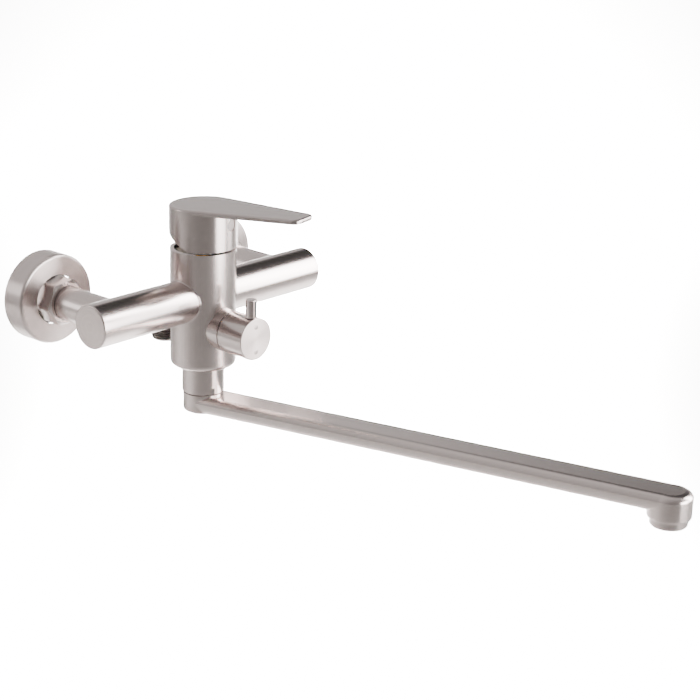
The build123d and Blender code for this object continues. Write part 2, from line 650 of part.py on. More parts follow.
def aerator_insert():
    """Plastic flow straightener: a rim with a grid of ribs."""
    radius = AERATOR_THREAD_R - AERATOR_WALL
    rim = tube(radius, radius - 1.2, AERATOR_BOTTOM + AERATOR_LIP, AERATOR_TOP - 0.1)
    ribs = None
    for step in range(-3, 4):
        reach = 2 * math.sqrt(radius ** 2 - (step * RIB_PITCH) ** 2) - 1.0
        for turn in (0, 90):
            rib = Rot(Z=turn) * Pos(step * RIB_PITCH, 0, AERATOR_BOTTOM + RIB_H / 2 + AERATOR_LIP)
            rib *= Box(RIB_T, reach, RIB_H)
            ribs = rib if ribs is None else ribs + rib
    return spout_frame(Pos(0, -SPOUT_LENGTH, 0) * (rim + ribs))


def aerator_washer():
    """Sealing washer between the aerator and the boss."""
    ring = tube(AERATOR_THREAD_R, AERATOR_THREAD_R - 3.9, AERATOR_TOP, AERATOR_TOP + 1.5)
    return spout_frame(Pos(0, -SPOUT_LENGTH, 0) * ring)


PAIRS = {
    "arm": arm,
    "end_cap": end_cap,
    "inlet_leg": inlet_leg,
    "union_nut": hex_nut,
    "union_washer": union_washer,
    "eccentric_union": eccentric_union,
    "escutcheon": escutcheon,
}

SINGLES = {
    "barrel": barrel,
    "hose_elbow": hose_elbow,
    "hose_nipple": hose_nipple,
    "cartridge_seals": cartridge_seals,
    "cartridge_base": cartridge_base,
    "ceramic_seat": ceramic_seat,
    "ceramic_slider": ceramic_slider,
    "disc_carrier": disc_carrier,
    "cartridge_housing": cartridge_housing,
    "spindle_holder": spindle_holder,
    "spindle_pin": spindle_pin,
    "lever_spindle": lever_spindle,
    "cartridge_nut": cartridge_nut,
    "lever_handle": lever_handle,
    "lever_grub_screw": lever_grub_screw,
    "lever_screw_cover": lever_screw_cover,
    "diverter_bonnet": diverter_bonnet,
    "diverter_sleeve": diverter_sleeve,
    "diverter_seat": diverter_seat,
    "diverter_rotor": diverter_rotor,
    "diverter_spindle": diverter_spindle,
    "diverter_ring": diverter_ring,
    "diverter_knob": diverter_knob,
    "knob_pin": knob_pin,
    "spout_connector": spout_connector,
    "neck_nut": neck_nut,
    "split_ring": split_ring,
    "spout_tail": spout_tail,
    "spout_rings": spout_rings,
    "slip_washer": slip_washer,
    "spout": spout,
    "aerator_ring": aerator_ring,
    "aerator_insert": aerator_insert,
    "aerator_washer": aerator_washer,
}


def write(name, shape):
    """Write one sub-part, lowered from the bar frame to the wall frame."""
    export_step(Pos(0, 0, -UNION_OFFSET) * shape, f"parts/{name}.step")


os.makedirs("parts", exist_ok=True)
for name, make in PAIRS.items():
    for word, side in (("left", -1), ("right", 1)):
        write(f"{name}_{word}", make(side))
for name, make in SINGLES.items():
    write(name, make())
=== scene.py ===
"""Finishes of a wall mounted bath mixer: brushed stainless steel, threads, weld beads and a small studio.

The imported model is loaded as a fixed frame. Its pieces get materials, and the threaded pieces are
replaced with cut threads. Everything is in metres: +Z up, +Y into the wall, the origin midway
between the two wall inlets.
"""

import json
import math

import bmesh
import bpy
from bpy.props import FloatProperty, FloatVectorProperty, PointerProperty
from mathutils import Matrix, Vector


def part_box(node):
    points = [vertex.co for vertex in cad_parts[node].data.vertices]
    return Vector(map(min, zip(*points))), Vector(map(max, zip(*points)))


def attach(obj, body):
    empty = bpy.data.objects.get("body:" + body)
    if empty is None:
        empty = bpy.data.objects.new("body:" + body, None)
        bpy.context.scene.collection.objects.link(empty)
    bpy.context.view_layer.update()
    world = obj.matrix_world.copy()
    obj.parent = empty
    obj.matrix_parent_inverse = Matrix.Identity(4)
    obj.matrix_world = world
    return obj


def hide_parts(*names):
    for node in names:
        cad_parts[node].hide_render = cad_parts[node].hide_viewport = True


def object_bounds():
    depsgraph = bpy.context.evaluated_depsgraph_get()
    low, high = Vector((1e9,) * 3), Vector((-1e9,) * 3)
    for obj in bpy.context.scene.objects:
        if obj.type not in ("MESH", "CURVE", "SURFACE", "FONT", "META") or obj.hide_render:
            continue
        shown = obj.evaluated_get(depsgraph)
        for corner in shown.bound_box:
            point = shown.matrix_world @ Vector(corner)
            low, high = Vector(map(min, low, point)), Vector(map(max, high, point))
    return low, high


bl_info = {
    "name": "Bath Mixer Finishes",
    "version": (1, 0, 0),
    "blender": (4, 5, 0),
    "location": "3D View > Sidebar > Bath Mixer",
    "description": "Gives a wall mounted bath mixer its metal finishes, threads and studio",
    "category": "Object",
}

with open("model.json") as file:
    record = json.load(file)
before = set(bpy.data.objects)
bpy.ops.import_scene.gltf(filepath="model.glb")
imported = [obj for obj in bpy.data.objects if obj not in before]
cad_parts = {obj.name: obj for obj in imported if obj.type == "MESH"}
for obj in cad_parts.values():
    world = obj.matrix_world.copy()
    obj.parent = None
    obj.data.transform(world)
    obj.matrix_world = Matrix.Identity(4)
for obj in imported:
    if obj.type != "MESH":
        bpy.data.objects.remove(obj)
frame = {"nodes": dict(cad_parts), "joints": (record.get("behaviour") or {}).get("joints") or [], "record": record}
CAD_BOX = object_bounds()
MM = 0.001
SIDES = ("left", "right")

# The middle part of a noise pattern's range, where nearly all of its values lie.
NOISE_LOW, NOISE_HIGH = 0.32, 0.68
# Anisotropic Rotation counts whole turns.
QUARTER_TURN = 0.25

X_AXIS = Vector((1, 0, 0))
Y_AXIS = Vector((0, 1, 0))
Z_AXIS = Vector((0, 0, 1))


# ---- places, read from the frame ----
def middle(node):
    """Middle of a node's box."""
    low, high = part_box(node)
    return (low + high) / 2


def half_size(node):
    """Half the size of a node's box."""
    low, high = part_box(node)
    return (high - low) / 2


def mount(name):
    """A mount of the record."""
    return next(m for m in frame["record"]["mounts"] if m["name"] == name)


def joint(name):
    """A joint of the record."""
    return next(j for j in frame["joints"] if j["name"] == name)


BARREL = middle("barrel")
BARREL_R = half_size("barrel").x
ARM_R = half_size("end_cap_left").z
BAR_Z = middle("end_cap_left").z
LEVER_ALONG = Z_AXIS.cross(Vector(joint("handle_lift")["axis"])).normalized()
SPOUT_TIP = middle("aerator_ring")
SPOUT_ALONG = Vector((SPOUT_TIP.x - BARREL.x, SPOUT_TIP.y - BARREL.y, 0)).normalized()


# Wall union: outer thread in the nut, round web inside the cover cup, and the neck lifted to the inlet.
UNION_THREAD_R = 13.2 * MM
UNION_NECK_R = 12.4 * MM
UNION_BORE_R = 7.5 * MM
UNION_WEB_FRONT = -9.5 * MM
UNION_WEB_BACK = -5.0 * MM
UNION_LAP = 1.0 * MM
UNION_EDGE = 0.4 * MM
OUTLET_BORE_R = 4.5 * MM
LOOK_AT = Vector((0.0, -0.2092, -0.0141))


# ---- colours ----
def linear(code):
    """Linear colour of an sRGB hex value."""
    parts = [int(code[i : i + 2], 16) / 255 for i in (0, 2, 4)]
    return tuple(c / 12.92 if c <= 0.04045 else ((c + 0.055) / 1.055) ** 2.4 for c in parts)


class BathMixerSizes(bpy.types.PropertyGroup):
    """Sizes of the details that are added to the frame."""

    pitch: FloatProperty(
        name="Thread pitch",
        description="Distance between the crests of the pipe threads",
        default=1.814 * MM,
        unit="LENGTH",
        precision=5,
    )
    depth: FloatProperty(
        name="Thread depth",
        description="Depth of the pipe threads below their crests",
        default=1.16 * MM,
        unit="LENGTH",
        precision=5,
    )
    bead: FloatProperty(
        name="Weld bead",
        description="Radius of the dressed weld bead between an arm and the barrel",
        default=0.55 * MM,
        unit="LENGTH",
        precision=5,
    )
    grain: FloatProperty(
        name="Grain width",
        description="Width of the brushing lines; real ones are about 0.1 mm, drawn wider so that they show",
        default=0.45 * MM,
        unit="LENGTH",
        precision=5,
    )
    mark: FloatProperty(
        name="Knob mark",
        description="Width of the two etched marks on the knob's face",
        default=3.8 * MM,
        unit="LENGTH",
        precision=5,
    )


class BathMixerColours(bpy.types.PropertyGroup):
    """Colours of the finishes."""

    steel: FloatVectorProperty(
        name="Stainless steel",
        description="Face colour of the brushed stainless steel",
        subtype="COLOR",
        default=linear("CFC2BE"),
    )
    dark_thread: FloatVectorProperty(
        name="Raw thread",
        description="Colour of the unpolished thread of the hose outlet",
        subtype="COLOR",
        default=linear("8A8380"),
    )
    brass: FloatVectorProperty(
        name="Brass",
        description="Colour of the machined brass pieces inside",
        subtype="COLOR",
        default=linear("D9B46A"),
    )
    nickel: FloatVectorProperty(
        name="Nickel",
        description="Colour of the nickel plating on the wall unions",
        subtype="COLOR",
        default=linear("C9C2B8"),
    )
    rubber: FloatVectorProperty(
        name="Rubber",
        description="Colour of the seals and washers",
        subtype="COLOR",
        default=linear("1D1D1E"),
    )
    plastic: FloatVectorProperty(
        name="Cartridge plastic",
        description="Colour of the cartridge's base and housing",
        subtype="COLOR",
        default=linear("9A9C9E"),
    )
    acetal: FloatVectorProperty(
        name="White plastic",
        description="Colour of the slip washer, carrier, holder and flow straightener",
        subtype="COLOR",
        default=linear("E6E5E0"),
    )
    ceramic: FloatVectorProperty(
        name="Ceramic",
        description="Colour of the lapped ceramic discs",
        subtype="COLOR",
        default=linear("EFEDE6"),
    )


class BathMixerStudio(bpy.types.PropertyGroup):
    """Camera and lights of the studio."""

    azimuth: FloatProperty(
        name="Azimuth",
        description="Turn of the camera from straight in front of the wall",
        default=math.radians(-48.66),
        subtype="ANGLE",
    )
    elevation: FloatProperty(
        name="Elevation",
        description="Height of the camera above the horizon, as an angle",
        default=math.radians(18.66),
        subtype="ANGLE",
    )
    roll: FloatProperty(
        name="Roll",
        description="Roll of the camera about its view",
        default=math.radians(1.5),
        subtype="ANGLE",
    )
    distance: FloatProperty(
        name="Distance",
        description="Distance from the camera to the point it looks at",
        default=1.1558,
        unit="LENGTH",
    )
    lens: FloatProperty(
        name="Lens",
        description="Focal length in millimetres on a 36 mm sensor",
        default=95.31,
    )
    floor_drop: FloatProperty(
        name="Floor",
        description="Height of the floor below the lowest point of the mixer",
        default=0.45,
        unit="LENGTH",
    )


# ---- nodes ----
def add(tree, kind, links=None, **settings):
    """Adds a node. Settings are its attributes; links give each input a value or another node's output."""
    node = tree.nodes.new("ShaderNode" + kind)
    for name, value in settings.items():
        setattr(node, name, value)
    for key, value in (links or {}).items():
        socket = node.inputs[key]
        if isinstance(value, bpy.types.NodeSocket):
            tree.links.new(value, socket)
        else:
            socket.default_value = value
    return node


def new_material(name):
    """A material whose tree holds only its output."""
    material = bpy.data.materials.new(name)
    material.use_nodes = True
    material.node_tree.nodes.clear()
    return material


def close(material, shader, bump=None):
    """Links a shader to the material's output."""
    tree = material.node_tree
    output = tree.nodes.new("ShaderNodeOutputMaterial")
    tree.links.new(shader.outputs[0], output.inputs["Surface"])
    if bump is not None:
        tree.links.new(bump.outputs["Normal"], shader.inputs["Normal"])
    return material


def turned_to(direction):
    """Rotation, as Mapping takes it, that brings a direction onto the pattern's Z."""
    return Vector(direction).rotation_difference(Z_AXIS).to_euler()


def steel(
    name,
    along=None,
    centre=None,
    axis=None,
    rough=0.23,
    pull=0.55,
    contrast=1.0,
    tone=1.0,
    frost=0.0,
):
    """Stainless steel, brushed on a belt or turned on a lathe.

    Along is the direction of straight brushing lines. Centre and axis instead give the turning
    axis of a lathe finish, whose lines are circles. The lines scatter light across themselves,
    which pulls highlights into long soft streaks, and the tone drifts a little from line to line.
    Rough is the mean roughness, pull the strength of the streaks, contrast the depth of the lines,
    and tone a factor on the colour. Frost is extra roughness on faces square to the turning axis.
    """
    sizes, colours = bpy.context.scene.bath_mixer_sizes, bpy.context.scene.bath_mixer_colours
    material = new_material(name)
    tree = material.node_tree
    place = add(tree, "TexCoord").outputs["Object"]
    if along is not None:
        grain = add(tree, "Mapping", {"Vector": place, "Rotation": turned_to(along)}).outputs["Vector"]
        lines = add(tree, "Mapping", {"Vector": grain, "Scale": (1, 1, 0.006)}).outputs["Vector"]
        tangent = add(tree, "CombineXYZ", dict(enumerate(along))).outputs["Vector"]
    else:
        shifted = add(tree, "VectorMath", {0: place, 1: centre}, operation="SUBTRACT").outputs["Vector"]
        about = add(tree, "CombineXYZ", dict(enumerate(axis))).outputs["Vector"]
        height = add(tree, "VectorMath", {0: shifted, 1: about}, operation="DOT_PRODUCT").outputs["Value"]
        tangent = add(tree, "VectorMath", {0: about, 1: shifted}, operation="CROSS_PRODUCT").outputs["Vector"]
        radius = add(tree, "VectorMath", {0: tangent}, operation="LENGTH").outputs["Value"]
        rings = add(tree, "CombineXYZ", {0: radius, 1: height}).outputs["Vector"]
        drift = add(tree, "VectorMath", {0: shifted, "Scale": 0.02}, operation="SCALE").outputs["Vector"]
        lines = add(tree, "VectorMath", {0: rings, 1: drift}, operation="ADD").outputs["Vector"]
    fine = add(
        tree, "TexNoise", {"Vector": lines, "Scale": 1 / sizes.grain, "Detail": 2.0, "Roughness": 0.6}
    ).outputs["Fac"]
    broad = add(
        tree, "TexNoise", {"Vector": lines, "Scale": 0.16 / sizes.grain, "Detail": 2.0}
    ).outputs["Fac"]
    mixed = add(tree, "Mix", {"Factor": 0.35, "A": fine, "B": broad}).outputs["Result"]
    shade = add(
        tree,
        "MapRange",
        {
            "Value": mixed,
            "From Min": NOISE_LOW,
            "From Max": NOISE_HIGH,
            "To Min": 1 - 0.12 * contrast,
            "To Max": 1.0,
        },
    ).outputs["Result"]
    face = tuple(c * tone for c in colours.steel)
    colour = add(tree, "VectorMath", {0: face, "Scale": shade}, operation="SCALE").outputs["Vector"]
    roughness = add(
        tree,
        "MapRange",
        {
            "Value": mixed,
            "From Min": NOISE_LOW,
            "From Max": NOISE_HIGH,
            "To Min": rough + 0.04 * contrast,
            "To Max": rough - 0.03 * contrast,
        },
    ).outputs["Result"]
    if frost:
        normal = add(tree, "NewGeometry").outputs["Normal"]
        facing = add(
            tree, "VectorMath", {0: normal, 1: tuple(axis)}, operation="DOT_PRODUCT"
        ).outputs["Value"]
        square = add(tree, "Math", {0: facing}, operation="ABSOLUTE").outputs["Value"]
        extra = add(
            tree, "MapRange", {"Value": square, "From Min": 0.8, "From Max": 0.97, "To Max": frost}
        ).outputs["Result"]
        roughness = add(tree, "Math", {0: roughness, 1: extra}, operation="ADD").outputs["Value"]
    bump = add(
        tree, "Bump", {"Height": mixed, "Strength": 0.08 * contrast, "Distance": 0.03 * MM}
    )
    shader = add(
        tree,
        "BsdfPrincipled",
        {
            "Base Color": colour,
            "Metallic": 1.0,
            "Roughness": roughness,
            "Anisotropic": pull,
            "Anisotropic Rotation": QUARTER_TURN,
            "Tangent": tangent,
        },
    )
    return close(material, shader, bump)


def satin_metal(name, colour, rough, grit):
    """Metal with no direction in its finish: its tone and roughness vary at the size of the grit."""
    material = new_material(name)
    tree = material.node_tree
    place = add(tree, "TexCoord").outputs["Object"]
    grains = add(
        tree, "TexNoise", {"Vector": place, "Scale": 1 / grit, "Detail": 3.0, "Roughness": 0.6}
    ).outputs["Fac"]
    shade = add(tree, "MapRange", {"Value": grains, "To Min": 0.92, "To Max": 1.03}).outputs["Result"]
    tint = add(tree, "VectorMath", {0: tuple(colour), "Scale": shade}, operation="SCALE").outputs["Vector"]
    roughness = add(
        tree, "MapRange", {"Value": grains, "To Min": rough - 0.03, "To Max": rough + 0.04}
    ).outputs["Result"]
    bump = add(tree, "Bump", {"Height": grains, "Strength": 0.06, "Distance": 0.02 * MM})
    shader = add(
        tree, "BsdfPrincipled", {"Base Color": tint, "Metallic": 1.0, "Roughness": roughness}
    )
    return close(material, shader, bump)


def moulded(name, colour, rough, ior, grit):
    """Moulded or pressed solid: even colour with a faint mottle and the fine texture of its mould."""
    material = new_material(name)
    tree = material.node_tree
    place = add(tree, "TexCoord").outputs["Object"]
    grains = add(tree, "TexNoise", {"Vector": place, "Scale": 1 / grit, "Detail": 2.0}).outputs["Fac"]
    shade = add(tree, "MapRange", {"Value": grains, "To Min": 0.9, "To Max": 1.05}).outputs["Result"]
    tint = add(tree, "VectorMath", {0: tuple(colour), "Scale": shade}, operation="SCALE").outputs["Vector"]
    roughness = add(
        tree, "MapRange", {"Value": grains, "To Min": rough - 0.05, "To Max": rough + 0.08}
    ).outputs["Result"]
    bump = add(tree, "Bump", {"Height": grains, "Strength": 0.1, "Distance": 0.02 * MM})
    shader = add(tree, "BsdfPrincipled", {"Base Color": tint, "Roughness": roughness, "IOR": ior})
    return close(material, shader, bump)


def dress(material, *nodes):
    """Gives CAD nodes a material."""
    for node in nodes:
        piece = frame["nodes"][node]
        piece.data.materials.clear()
        piece.data.materials.append(material)


# ---- new pieces ----
def finished(name, bm, material, body):
    """Turns a bmesh into a piece that rides on a body."""
    bmesh.ops.remove_doubles(bm, verts=bm.verts, dist=1e-6)
    bmesh.ops.recalc_face_normals(bm, faces=bm.faces)
    mesh = bpy.data.meshes.new(name)
    bm.to_mesh(mesh)
    bm.free()
    mesh.materials.append(material)
    mesh.shade_smooth()
    mesh.set_sharp_from_angle(angle=math.radians(35))
    piece = bpy.data.objects.new(name, mesh)
    bpy.context.scene.collection.objects.link(piece)
    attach(piece, body)
    return piece


def cut_flat(bm, height, keep_above):
    """Cuts a bmesh at a height and returns the open edges of the cut."""
    everything = bm.verts[:] + bm.edges[:] + bm.faces[:]
    cut = bmesh.ops.bisect_plane(
        bm,
        geom=everything,
        plane_co=(0, 0, height),
        plane_no=(0, 0, 1),
        clear_inner=keep_above,
        clear_outer=not keep_above,
    )
    return [e for e in cut["geom_cut"] if isinstance(e, bmesh.types.BMEdge)]


def threaded_tube(bm, radius, bore, length, steps=72):
    """Tube along +Z from the origin, with a helical thread outside and a chamfered far end."""
    sizes = bpy.context.scene.bath_mixer_sizes
    pitch, root = sizes.pitch, radius - sizes.depth
    turns = math.ceil(length / pitch) + 2
    # A rounded pipe thread drawn with a narrow flat on its crest and in its root.
    crest = pitch * 0.12
    shape = [
        (root, 0),
        (root, crest),
        (radius, pitch / 2 - crest / 2),
        (radius, pitch / 2 + crest / 2),
        (root, pitch),
    ]
    verts = [bm.verts.new((r, 0, z - pitch)) for r, z in shape]
    edges = [bm.edges.new(pair) for pair in zip(verts, verts[1:])]
    bmesh.ops.spin(
        bm,
        geom=verts + edges,
        axis=Z_AXIS,
        angle=2 * math.pi * turns,
        steps=steps * turns,
        dvec=(0, 0, pitch / steps),
    )
    bmesh.ops.remove_doubles(bm, verts=bm.verts, dist=1e-6)
    near = cut_flat(bm, 0, keep_above=True)
    far = cut_flat(bm, length, keep_above=False)
    for vert in bm.verts:
        reach = math.hypot(vert.co.x, vert.co.y)
        # Chamfer at the far end, a little steeper than 45 degrees.
        limit = root + max(0.0, length - vert.co.z) * 0.9
        if reach > limit:
            vert.co.xy *= limit / reach
    ends = []
    for height, rim in ((0, near), (length, far)):
        place = Matrix.Translation((0, 0, height))
        circle = bmesh.ops.create_circle(bm, radius=bore, segments=steps, matrix=place)["verts"]
        inside = list({e for v in circle for e in v.link_edges})
        outside = [e for e in rim if e.is_valid]
        bmesh.ops.triangle_fill(bm, edges=inside + outside, use_beauty=True, normal=(0, 0, 1))
        ends.append(inside)
    bmesh.ops.bridge_loops(bm, edges=ends[0] + ends[1])


def disc_stack(bm, profile, steps=72):
    """Closed turned shape about Z from the corners of its outline, given as radius and height."""
    verts = [bm.verts.new((r, 0, z)) for r, z in profile]
    edges = [bm.edges.new(pair) for pair in zip(verts, verts[1:] + verts[:1])]
    bmesh.ops.spin(
        bm, geom=verts + edges, axis=Z_AXIS, angle=2 * math.pi, steps=steps, use_merge=True
    )


def placed(bm, start, direction):
    """Moves a bmesh drawn along +Z from the origin to a start and a direction."""
    turn = Z_AXIS.rotation_difference(Vector(direction)).to_matrix().to_4x4()
    bmesh.ops.transform(bm, matrix=Matrix.Translation(start) @ turn, verts=bm.verts)


def weld_bead(side):
    """Dressed weld bead on the saddle where an arm meets the barrel."""
    sizes = bpy.context.scene.bath_mixer_sizes
    bm = bmesh.new()
    place = Matrix.Translation((0, ARM_R, 0))
    ring = bmesh.ops.create_circle(bm, radius=sizes.bead, segments=12, matrix=place)["verts"]
    rim = list({e for v in ring for e in v.link_edges})
    bmesh.ops.spin(
        bm, geom=ring + rim, axis=X_AXIS, angle=2 * math.pi, steps=120, use_merge=True
    )
    for vert in bm.verts:
        reach = min(abs(vert.co.y), BARREL_R * 0.999)
        vert.co.x += side * math.sqrt(BARREL_R**2 - reach**2)
    bmesh.ops.translate(bm, verts=bm.verts, vec=(BARREL.x, BARREL.y, BAR_Z))
    return bm


def knob_mark(bm, offset):
    """Etched round mark on the knob's face, above or below its middle."""
    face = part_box("diverter_knob")[0].y
    centre = middle("diverter_knob")
    thick = 0.02 * MM
    radius = bpy.context.scene.bath_mixer_sizes.mark / 2
    bmesh.ops.create_cone(
        bm, cap_ends=True, radius1=radius, radius2=radius * 0.97, depth=thick, segments=48
    )
    upright = Matrix.Rotation(math.radians(90), 4, "X")
    move = Matrix.Translation((centre.x, face, centre.z + offset))
    bmesh.ops.transform(bm, matrix=move @ upright, verts=bm.verts)


# ---- operators ----
class BATHMIXER_OT_body(bpy.types.Operator):
    """Finish the barrel and add the weld beads of its two arms"""

    bl_idname = "bath_mixer.body"
    bl_label = "Barrel and Welds"

    def execute(self, context):
        # Stainless casting ground upright on a belt: upright lines and soft upright streaks.
        dress(steel("stainless_barrel_upright_grain", along=Z_AXIS), "barrel")
        # The bead is dressed smooth by hand, so it catches a crisp bright line.
        bead = satin_metal(
            "stainless_dressed_weld", context.scene.bath_mixer_colours.steel, rough=0.2, grit=1.5 * MM
        )
        for word, side in zip(SIDES, (-1, 1)):
            finished(f"weld_bead_{word}", weld_bead(side), bead, "fixture")
        return {"FINISHED"}


class BATHMIXER_OT_arms(bpy.types.Operator):
    """Finish the arms of the bar, their end caps and the inlet legs"""

    bl_idname = "bath_mixer.arms"
    bl_label = "Arms and Legs"

    def execute(self, context):
        # Tube brushed along its length: the highlight stays a long band with a streaky edge.
        arm = steel("stainless_arm_long_grain", along=X_AXIS, rough=0.21, pull=0.2, contrast=0.6)
        dress(arm, "arm_left", "arm_right")
        for word in SIDES:
            # Cap faced on a lathe: near-even, slightly frosted.
            cap = steel(
                f"stainless_cap_{word}_faced", centre=middle(f"end_cap_{word}"), axis=X_AXIS, pull=0.2
            )
            dress(cap, f"end_cap_{word}")
            # Leg brushed along its length, like the arm.
            leg = steel(f"stainless_leg_{word}_long_grain", along=Y_AXIS, rough=0.22, contrast=0.7)
            dress(leg, f"inlet_leg_{word}")
        return {"FINISHED"}


class BATHMIXER_OT_wall_fittings(bpy.types.Operator):
    """Finish the cover cups and union nuts and cut the threads of the wall unions"""

    bl_idname = "bath_mixer.wall_fittings"
    bl_label = "Wall Fittings"

    def execute(self, context):
        colours = context.scene.bath_mixer_colours
        # Nut tumbled and lightly polished: soft, even, with bright edges.
        nut = satin_metal("stainless_tumbled_nut", colours.steel, rough=0.24, grit=2.5 * MM)
        # Thin nickel over brass, darkened to 0.3 of its colour: painted shade for the dark gap around the nut
        # inside the cover cup.
        shaded_plating = [0.3 * c for c in colours.nickel]
        plating = satin_metal("nickel_plated_brass_painted_shade", shaded_plating, rough=0.42, grit=0.9 * MM)
        # Pressed fibre-filled rubber: black and matt.
        rubber = moulded("black_rubber_washer", colours.rubber, rough=0.7, ior=1.52, grit=0.6 * MM)
        for word in SIDES:
            # Cup spun in a lathe: circular lines, whose highlights open out like fans.
            cup = steel(
                f"stainless_cover_{word}_turned",
                centre=middle(f"escutcheon_{word}"),
                axis=Y_AXIS,
                pull=0.8,
                rough=0.3,
                contrast=0.35,
            )
            dress(cup, f"escutcheon_{word}")
            dress(nut, f"union_nut_{word}")
            dress(rubber, f"union_washer_{word}")
            self.union(word, plating)
        return {"FINISHED"}

    def union(self, word, material):
        """Eccentric wall union: wall thread, lifted neck, web, and the outer thread inside the nut."""
        node = f"eccentric_union_{word}"
        wall = mount(f"wall_thread_{word}")
        low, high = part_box(node)
        inlet = Vector(wall["pos_m"])
        bar = Vector((inlet.x, 0, BAR_Z))
        bore = mount("wall_inlets")["dims"]["hole_r_mm"] * MM
        length = wall["dims"]["length_mm"] * MM
        bm = bmesh.new()
        threaded_tube(bm, wall["dims"]["r_mm"] * MM, bore, length + UNION_LAP)
        placed(bm, (inlet.x, high.y - length - UNION_LAP, inlet.z), Y_AXIS)
        for axis, radius, start, end in (
            (inlet, UNION_NECK_R, UNION_WEB_BACK - UNION_LAP, high.y - length),
            (bar, (high.x - low.x) / 2, UNION_WEB_FRONT, UNION_WEB_BACK),
            (bar, UNION_THREAD_R, low.y, UNION_WEB_FRONT + UNION_LAP),
        ):
            part = bmesh.new()
            deep, edge = end - start, UNION_EDGE
            disc_stack(
                part,
                [
                    (UNION_BORE_R, 0),
                    (radius - edge, 0),
                    (radius, edge),
                    (radius, deep - edge),
                    (radius - edge, deep),
                    (UNION_BORE_R, deep),
                ],
            )
            placed(part, (axis.x, start, axis.z), Y_AXIS)
            mesh = bpy.data.meshes.new("part")
            part.to_mesh(mesh)
            part.free()
            bm.from_mesh(mesh)
            bpy.data.meshes.remove(mesh)
        piece = finished(f"wall_union_{word}", bm, material, "fixture")
        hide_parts(node)


class BATHMIXER_OT_hose_outlet(bpy.types.Operator):
    """Finish the rear elbow and cut the thread of the hose nipple"""

    bl_idname = "bath_mixer.hose_outlet"
    bl_label = "Hose Outlet"

    def execute(self, context):
        # Elbow blasted with fine grit: dull, even grey.
        elbow = satin_metal(
            "stainless_blasted_elbow", context.scene.bath_mixer_colours.steel, rough=0.36, grit=0.8 * MM
        )
        dress(elbow, "hose_elbow")
        # Thread as it leaves the die: oily dark steel with thin bright crests.
        dark = satin_metal(
            "steel_raw_thread", context.scene.bath_mixer_colours.dark_thread, rough=0.38, grit=0.7 * MM
        )
        outlet = mount("hose_outlet")
        low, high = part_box("hose_nipple")
        length = outlet["dims"]["length_mm"] * MM
        bm = bmesh.new()
        threaded_tube(bm, outlet["dims"]["r_mm"] * MM, OUTLET_BORE_R, length)
        centre = middle("hose_nipple")
        placed(bm, (centre.x, centre.y, low.z + length), -Z_AXIS)
        piece = finished("hose_nipple_thread", bm, dark, "fixture")
        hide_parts("hose_nipple")
        return {"FINISHED"}


class BATHMIXER_OT_lever(bpy.types.Operator):
    """Finish the lever, its screw and the screw's cover"""

    bl_idname = "bath_mixer.lever"
    bl_label = "Lever"

    def execute(self, context):
        colours = context.scene.bath_mixer_colours
        # Lever linished from its back to its tip: fine lines that fade into an even satin. Its colour is lowered
        # to 0.84 of the steel, a painted shade on its top.
        satin = steel(
            "stainless_lever_long_grain", along=LEVER_ALONG, rough=0.24, contrast=0.45, tone=0.84
        )
        dress(satin, "lever_handle")
        # Button turned from rod: a small even disc, darkened to 0.6 of the steel colour as painted shade, as if it
        # sat in a shaded recess.
        shaded_button_steel = [0.6 * c for c in colours.steel]
        dress(
            satin_metal("stainless_turned_button", shaded_button_steel, rough=0.35, grit=0.8 * MM),
            "lever_screw_cover",
        )
        # Plain machined steel as it leaves the lathe.
        dress(
            satin_metal("steel_machined", colours.steel, rough=0.3, grit=0.6 * MM),
            "lever_grub_screw",
            "spindle_pin",
            "spout_tail",
        )
        return {"FINISHED"}


class BATHMIXER_OT_cartridge(bpy.types.Operator):
    """Finish the pieces of the mixing cartridge and the other brass, ceramic and rubber pieces"""

    bl_idname = "bath_mixer.cartridge"
    bl_label = "Cartridge and Valve Pieces"

    def execute(self, context):
        colours = context.scene.bath_mixer_colours
        # Brass darkened to 0.12 of its colour: painted shade for the dark well under the lever.
        shaded_brass = [0.12 * c for c in colours.brass]
        dress(satin_metal("brass_painted_shade", shaded_brass, rough=0.4, grit=1.0 * MM), "cartridge_nut")
        # Free-cutting brass straight from the lathe.
        dress(
            satin_metal("machined_brass", colours.brass, rough=0.28, grit=0.8 * MM),
            "lever_spindle",
            "diverter_sleeve",
            "diverter_spindle",
            "spout_connector",
        )
        # Glass-filled plastic of the cartridge: grey, with a dull moulded skin.
        dress(
            moulded("grey_filled_plastic", colours.plastic, rough=0.5, ior=1.5, grit=0.5 * MM),
            "cartridge_base",
            "cartridge_housing",
        )
        # Acetal: milky white and slightly waxy.
        dress(
            moulded("white_acetal", colours.acetal, rough=0.4, ior=1.48, grit=0.7 * MM),
            "disc_carrier",
            "spindle_holder",
            "slip_washer",
            "split_ring",
            "aerator_insert",
        )
        # Lapped alumina: nearly white, with a glassy lapped face.
        dress(
            moulded("lapped_alumina", colours.ceramic, rough=0.14, ior=1.77, grit=0.4 * MM),
            "ceramic_seat",
            "ceramic_slider",
            "diverter_seat",
            "diverter_rotor",
        )
        # Nitrile rubber: black with a soft sheen from its mould.
        dress(
            moulded("nitrile_rubber", colours.rubber, rough=0.55, ior=1.52, grit=0.5 * MM),
            "cartridge_seals",
            "diverter_ring",
            "spout_rings",
            "aerator_washer",
        )
        return {"FINISHED"}


